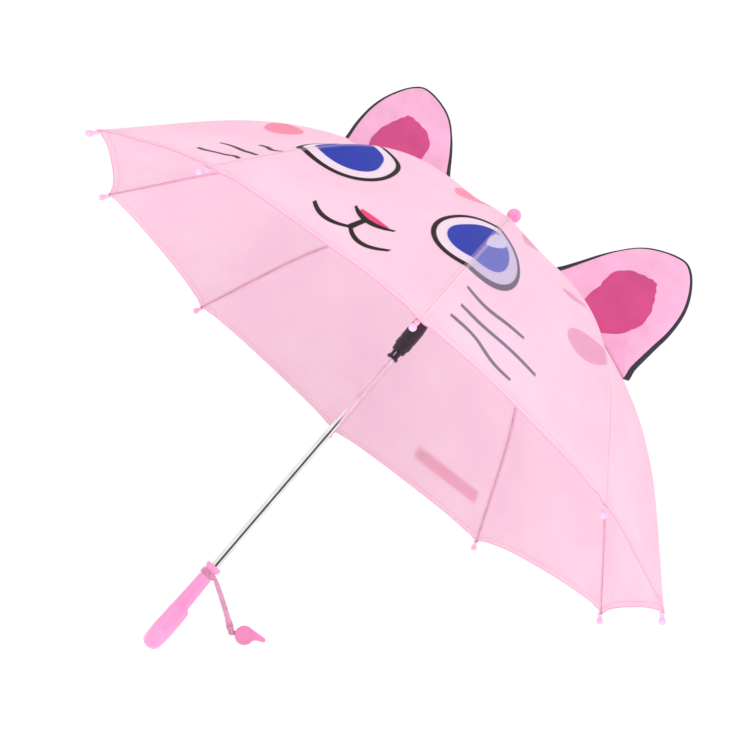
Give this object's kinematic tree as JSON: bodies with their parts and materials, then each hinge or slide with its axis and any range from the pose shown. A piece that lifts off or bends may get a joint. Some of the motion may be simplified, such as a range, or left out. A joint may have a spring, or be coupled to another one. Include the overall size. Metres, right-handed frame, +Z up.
{
  "type": "children's umbrella",
  "caption": "Small stick umbrella for a child: domed pink canopy with printed cat face and two ears, folding ribs, hook handle and whistle.",
  "frame": {"origin": "on the shaft axis, at the lowest point of the hook handle", "axes": "+Z up the shaft towards the ferrule; the printed face looks along -Y; the ears stand along +X and -X"},
  "size_m": [0.8072, 0.7678, 0.6822],
  "materials": {
    "canopy_fabric": "woven polyester, slightly see-through, printed face on the front panels",
    "fastener_fabric": "looped nylon pad",
    "frame_steel": "zinc plated",
    "shaft_chrome": "bright chrome plate",
    "black_plastic": "satin moulded",
    "handle_plastic": "glossy moulded, slightly pearly",
    "tip_plastic": "glossy moulded",
    "strap_plastic": "soft clear pink",
    "whistle_plastic": "satin moulded",
    "pea_cork": "cork"
  },
  "bodies": {
    "root": {"shaft_tube": "shaft_chrome", "handle": "handle_plastic", "crown": "black_plastic", "crown_wire": "frame_steel", "ferrule_cap": "handle_plastic", "canopy_rosette": "canopy_fabric"},
    "rib_body_01": {"rib_01": "frame_steel", "tip_cap_01": "tip_plastic"},
    "rib_body_02": {"rib_02": "frame_steel", "tip_cap_02": "tip_plastic"},
    "rib_body_03": {"rib_03": "frame_steel", "tip_cap_03": "tip_plastic"},
    "rib_body_04": {"rib_04": "frame_steel", "tip_cap_04": "tip_plastic"},
    "rib_body_05": {"rib_05": "frame_steel", "tip_cap_05": "tip_plastic", "ear_right": "canopy_fabric"},
    "rib_body_06": {"rib_06": "frame_steel", "tip_cap_06": "tip_plastic"},
    "rib_body_07": {"rib_07": "frame_steel", "tip_cap_07": "tip_plastic"},
    "rib_body_08": {"rib_08": "frame_steel", "tip_cap_08": "tip_plastic"},
    "rib_body_09": {"rib_09": "frame_steel", "tip_cap_09": "tip_plastic"},
    "rib_body_10": {"rib_10": "frame_steel", "tip_cap_10": "tip_plastic", "ear_left": "canopy_fabric"},
    "stretcher_body_01": {"stretcher_01": "frame_steel"},
    "stretcher_body_02": {"stretcher_02": "frame_steel"},
    "stretcher_body_03": {"stretcher_03": "frame_steel"},
    "stretcher_body_04": {"stretcher_04": "frame_steel"},
    "stretcher_body_05": {"stretcher_05": "frame_steel"},
    "stretcher_body_06": {"stretcher_06": "frame_steel"},
    "stretcher_body_07": {"stretcher_07": "frame_steel"},
    "stretcher_body_08": {"stretcher_08": "frame_steel"},
    "stretcher_body_09": {"stretcher_09": "frame_steel"},
    "stretcher_body_10": {"stretcher_10": "frame_steel"},
    "panel_body_01": {"canopy_panel_01": "canopy_fabric"},
    "panel_body_02": {"canopy_panel_02": "canopy_fabric"},
    "panel_body_03": {"canopy_panel_03": "canopy_fabric"},
    "panel_body_04": {"canopy_panel_04": "canopy_fabric"},
    "panel_body_05": {"canopy_panel_05": "canopy_fabric"},
    "panel_body_06": {"canopy_panel_06": "canopy_fabric"},
    "panel_body_07": {"canopy_panel_07": "canopy_fabric"},
    "panel_body_08": {"canopy_panel_08": "canopy_fabric"},
    "panel_body_09": {"canopy_panel_09": "canopy_fabric"},
    "panel_body_10": {"canopy_panel_10": "canopy_fabric"},
    "runner_body": {"runner": "black_plastic", "runner_wire": "frame_steel"},
    "catch_body": {"top_spring_catch": "frame_steel"},
    "whistle_loop_body": {"whistle_loop": "strap_plastic"},
    "whistle_strap_body": {"whistle_strap": "strap_plastic"},
    "whistle_body": {"whistle": "whistle_plastic", "whistle_pea": "pea_cork"},
    "closing_strap_body": {"closing_strap": "canopy_fabric", "strap_fastener_pad": "fastener_fabric"}
  },
  "joints": [
    {"name": "canopy_fold", "type": "hinge", "parent": "root", "child": "rib_body_01", "pos_m": [-0.00728, -0.00529, 0.58491], "axis": [0.5878, -0.809, 0], "range_deg": [0, 57.5]},
    {"name": "rib_02_fold", "type": "hinge", "parent": "root", "child": "rib_body_02", "pos_m": [-0.00278, -0.00856, 0.58491], "axis": [0.9511, -0.309, 0], "range_deg": [0, 57.5]},
    {"name": "rib_03_fold", "type": "hinge", "parent": "root", "child": "rib_body_03", "pos_m": [0.00278, -0.00856, 0.58491], "axis": [0.9511, 0.309, 0], "range_deg": [0, 57.5]},
    {"name": "rib_04_fold", "type": "hinge", "parent": "root", "child": "rib_body_04", "pos_m": [0.00728, -0.00529, 0.58491], "axis": [0.5878, 0.809, 0], "range_deg": [0, 57.5]},
    {"name": "rib_05_fold", "type": "hinge", "parent": "root", "child": "rib_body_05", "pos_m": [0.009, 0, 0.58491], "axis": [0, 1, 0], "range_deg": [0, 57.5]},
    {"name": "rib_06_fold", "type": "hinge", "parent": "root", "child": "rib_body_06", "pos_m": [0.00728, 0.00529, 0.58491], "axis": [-0.5878, 0.809, 0], "range_deg": [0, 57.5]},
    {"name": "rib_07_fold", "type": "hinge", "parent": "root", "child": "rib_body_07", "pos_m": [0.00278, 0.00856, 0.58491], "axis": [-0.9511, 0.309, 0], "range_deg": [0, 57.5]},
    {"name": "rib_08_fold", "type": "hinge", "parent": "root", "child": "rib_body_08", "pos_m": [-0.00278, 0.00856, 0.58491], "axis": [-0.9511, -0.309, 0], "range_deg": [0, 57.5]},
    {"name": "rib_09_fold", "type": "hinge", "parent": "root", "child": "rib_body_09", "pos_m": [-0.00728, 0.00529, 0.58491], "axis": [-0.5878, -0.809, 0], "range_deg": [0, 57.5]},
    {"name": "rib_10_fold", "type": "hinge", "parent": "root", "child": "rib_body_10", "pos_m": [-0.009, 0, 0.58491], "axis": [0, -1, 0], "range_deg": [0, 57.5]},
    {"name": "stretcher_01_swing", "type": "hinge", "parent": "rib_body_01", "child": "stretcher_body_01", "pos_m": [-0.15738, -0.11434, 0.53793], "axis": [0.5878, -0.809, 0], "range_deg": [-115, 0]},
    {"name": "stretcher_02_swing", "type": "hinge", "parent": "rib_body_02", "child": "stretcher_body_02", "pos_m": [-0.06011, -0.18501, 0.53793], "axis": [0.9511, -0.309, 0], "range_deg": [-115, 0]},
    {"name": "stretcher_03_swing", "type": "hinge", "parent": "rib_body_03", "child": "stretcher_body_03", "pos_m": [0.06011, -0.18501, 0.53793], "axis": [0.9511, 0.309, 0], "range_deg": [-115, 0]},
    {"name": "stretcher_04_swing", "type": "hinge", "parent": "rib_body_04", "child": "stretcher_body_04", "pos_m": [0.15738, -0.11434, 0.53793], "axis": [0.5878, 0.809, 0], "range_deg": [-115, 0]},
    {"name": "stretcher_05_swing", "type": "hinge", "parent": "rib_body_05", "child": "stretcher_body_05", "pos_m": [0.19453, 0, 0.53793], "axis": [0, 1, 0], "range_deg": [-115, 0]},
    {"name": "stretcher_06_swing", "type": "hinge", "parent": "rib_body_06", "child": "stretcher_body_06", "pos_m": [0.15738, 0.11434, 0.53793], "axis": [-0.5878, 0.809, 0], "range_deg": [-115, 0]},
    {"name": "stretcher_07_swing", "type": "hinge", "parent": "rib_body_07", "child": "stretcher_body_07", "pos_m": [0.06011, 0.18501, 0.53793], "axis": [-0.9511, 0.309, 0], "range_deg": [-115, 0]},
    {"name": "stretcher_08_swing", "type": "hinge", "parent": "rib_body_08", "child": "stretcher_body_08", "pos_m": [-0.06011, 0.18501, 0.53793], "axis": [-0.9511, -0.309, 0], "range_deg": [-115, 0]},
    {"name": "stretcher_09_swing", "type": "hinge", "parent": "rib_body_09", "child": "stretcher_body_09", "pos_m": [-0.15738, 0.11434, 0.53793], "axis": [-0.5878, -0.809, 0], "range_deg": [-115, 0]},
    {"name": "stretcher_10_swing", "type": "hinge", "parent": "rib_body_10", "child": "stretcher_body_10", "pos_m": [-0.19453, 0, 0.53793], "axis": [0, -1, 0], "range_deg": [-115, 0]},
    {"name": "panel_01_pleat", "type": "hinge", "parent": "rib_body_01", "child": "panel_body_01", "pos_m": [-0.00556, -0.00766, 0.58491], "axis": [0.5211, 0.7173, -0.4626], "range_deg": [0, 34.19], "deforming": ["canopy_panel_01"]},
    {"name": "panel_02_pleat", "type": "hinge", "parent": "rib_body_02", "child": "panel_body_02", "pos_m": [0, -0.00946, 0.58491], "axis": [0, 0.8866, -0.4626], "range_deg": [0, 34.19], "deforming": ["canopy_panel_02"]},
    {"name": "panel_03_pleat", "type": "hinge", "parent": "rib_body_03", "child": "panel_body_03", "pos_m": [0.00556, -0.00766, 0.58491], "axis": [-0.5211, 0.7173, -0.4626], "range_deg": [0, 34.19], "deforming": ["canopy_panel_03"]},
    {"name": "panel_04_pleat", "type": "hinge", "parent": "rib_body_04", "child": "panel_body_04", "pos_m": [0.009, -0.00292, 0.58491], "axis": [-0.8432, 0.274, -0.4626], "range_deg": [0, 34.19], "deforming": ["canopy_panel_04"]},
    {"name": "panel_05_pleat", "type": "hinge", "parent": "rib_body_05", "child": "panel_body_05", "pos_m": [0.009, 0.00292, 0.58491], "axis": [-0.8432, -0.274, -0.4626], "range_deg": [0, 34.19], "deforming": ["canopy_panel_05"]},
    {"name": "panel_06_pleat", "type": "hinge", "parent": "rib_body_06", "child": "panel_body_06", "pos_m": [0.00556, 0.00766, 0.58491], "axis": [-0.5211, -0.7173, -0.4626], "range_deg": [0, 34.19], "deforming": ["canopy_panel_06"]},
    {"name": "panel_07_pleat", "type": "hinge", "parent": "rib_body_07", "child": "panel_body_07", "pos_m": [0, 0.00946, 0.58491], "axis": [0, -0.8866, -0.4626], "range_deg": [0, 34.19], "deforming": ["canopy_panel_07"]},
    {"name": "panel_08_pleat", "type": "hinge", "parent": "rib_body_08", "child": "panel_body_08", "pos_m": [-0.00556, 0.00766, 0.58491], "axis": [0.5211, -0.7173, -0.4626], "range_deg": [0, 34.19], "deforming": ["canopy_panel_08"]},
    {"name": "panel_09_pleat", "type": "hinge", "parent": "rib_body_09", "child": "panel_body_09", "pos_m": [-0.009, 0.00292, 0.58491], "axis": [0.8432, -0.274, -0.4626], "range_deg": [0, 34.19], "deforming": ["canopy_panel_09"]},
    {"name": "panel_10_pleat", "type": "hinge", "parent": "rib_body_10", "child": "panel_body_10", "pos_m": [-0.009, -0.00292, 0.58491], "axis": [0.8432, 0.274, -0.4626], "range_deg": [0, 34.19], "deforming": ["canopy_panel_10"]},
    {"name": "runner_level", "type": "hinge", "parent": "stretcher_body_01", "child": "runner_body", "pos_m": [-0.00728, -0.00529, 0.49096], "axis": [0.5878, -0.809, 0], "range_deg": [0, 57.5]},
    {"name": "catch_press", "type": "slide", "parent": "root", "child": "catch_body", "axis": [0, 1, 0], "range_m": [0, 0.0018], "stiffness_N_per_m": 400},
    {"name": "whistle_swivel", "type": "hinge", "parent": "root", "child": "whistle_loop_body", "pos_m": [0, 0, 0.0975], "axis": [0, 0, 1], "continuous": true},
    {"name": "whistle_strap_tilt", "type": "hinge", "parent": "whistle_loop_body", "child": "whistle_strap_body", "pos_m": [0.00942, 0.00306, 0.0975], "axis": [-0.309, 0.9511, 0], "range_deg": [-75, 40]},
    {"name": "whistle_swing", "type": "hinge", "parent": "whistle_strap_body", "child": "whistle_body", "pos_m": [0.05564, 0.01808, 0.067], "axis": [-0.309, 0.9511, 0], "range_deg": [-40, 30]},
    {"name": "closing_strap_flap", "type": "hinge", "parent": "rib_body_07", "child": "closing_strap_body", "pos_m": [0.09515, 0.35214, 0.39141], "axis": [0.1676, 0.6204, -0.7662], "range_deg": [0, 100]}
  ],
  "couplings": [
    {"joint": "rib_02_fold", "follows": "canopy_fold", "ratio": 1},
    {"joint": "rib_03_fold", "follows": "canopy_fold", "ratio": 1},
    {"joint": "rib_04_fold", "follows": "canopy_fold", "ratio": 1},
    {"joint": "rib_05_fold", "follows": "canopy_fold", "ratio": 1},
    {"joint": "rib_06_fold", "follows": "canopy_fold", "ratio": 1},
    {"joint": "rib_07_fold", "follows": "canopy_fold", "ratio": 1},
    {"joint": "rib_08_fold", "follows": "canopy_fold", "ratio": 1},
    {"joint": "rib_09_fold", "follows": "canopy_fold", "ratio": 1},
    {"joint": "rib_10_fold", "follows": "canopy_fold", "ratio": 1},
    {"joint": "stretcher_01_swing", "follows": "canopy_fold", "ratio": -2},
    {"joint": "stretcher_02_swing", "follows": "canopy_fold", "ratio": -2},
    {"joint": "stretcher_03_swing", "follows": "canopy_fold", "ratio": -2},
    {"joint": "stretcher_04_swing", "follows": "canopy_fold", "ratio": -2},
    {"joint": "stretcher_05_swing", "follows": "canopy_fold", "ratio": -2},
    {"joint": "stretcher_06_swing", "follows": "canopy_fold", "ratio": -2},
    {"joint": "stretcher_07_swing", "follows": "canopy_fold", "ratio": -2},
    {"joint": "stretcher_08_swing", "follows": "canopy_fold", "ratio": -2},
    {"joint": "stretcher_09_swing", "follows": "canopy_fold", "ratio": -2},
    {"joint": "stretcher_10_swing", "follows": "canopy_fold", "ratio": -2},
    {"joint": "panel_01_pleat", "follows": "canopy_fold", "ratio": 0.59463},
    {"joint": "panel_02_pleat", "follows": "canopy_fold", "ratio": 0.59463},
    {"joint": "panel_03_pleat", "follows": "canopy_fold", "ratio": 0.59463},
    {"joint": "panel_04_pleat", "follows": "canopy_fold", "ratio": 0.59463},
    {"joint": "panel_05_pleat", "follows": "canopy_fold", "ratio": 0.59463},
    {"joint": "panel_06_pleat", "follows": "canopy_fold", "ratio": 0.59463},
    {"joint": "panel_07_pleat", "follows": "canopy_fold", "ratio": 0.59463},
    {"joint": "panel_08_pleat", "follows": "canopy_fold", "ratio": 0.59463},
    {"joint": "panel_09_pleat", "follows": "canopy_fold", "ratio": 0.59463},
    {"joint": "panel_10_pleat", "follows": "canopy_fold", "ratio": 0.59463},
    {"joint": "runner_level", "follows": "canopy_fold", "ratio": 1}
  ]
}
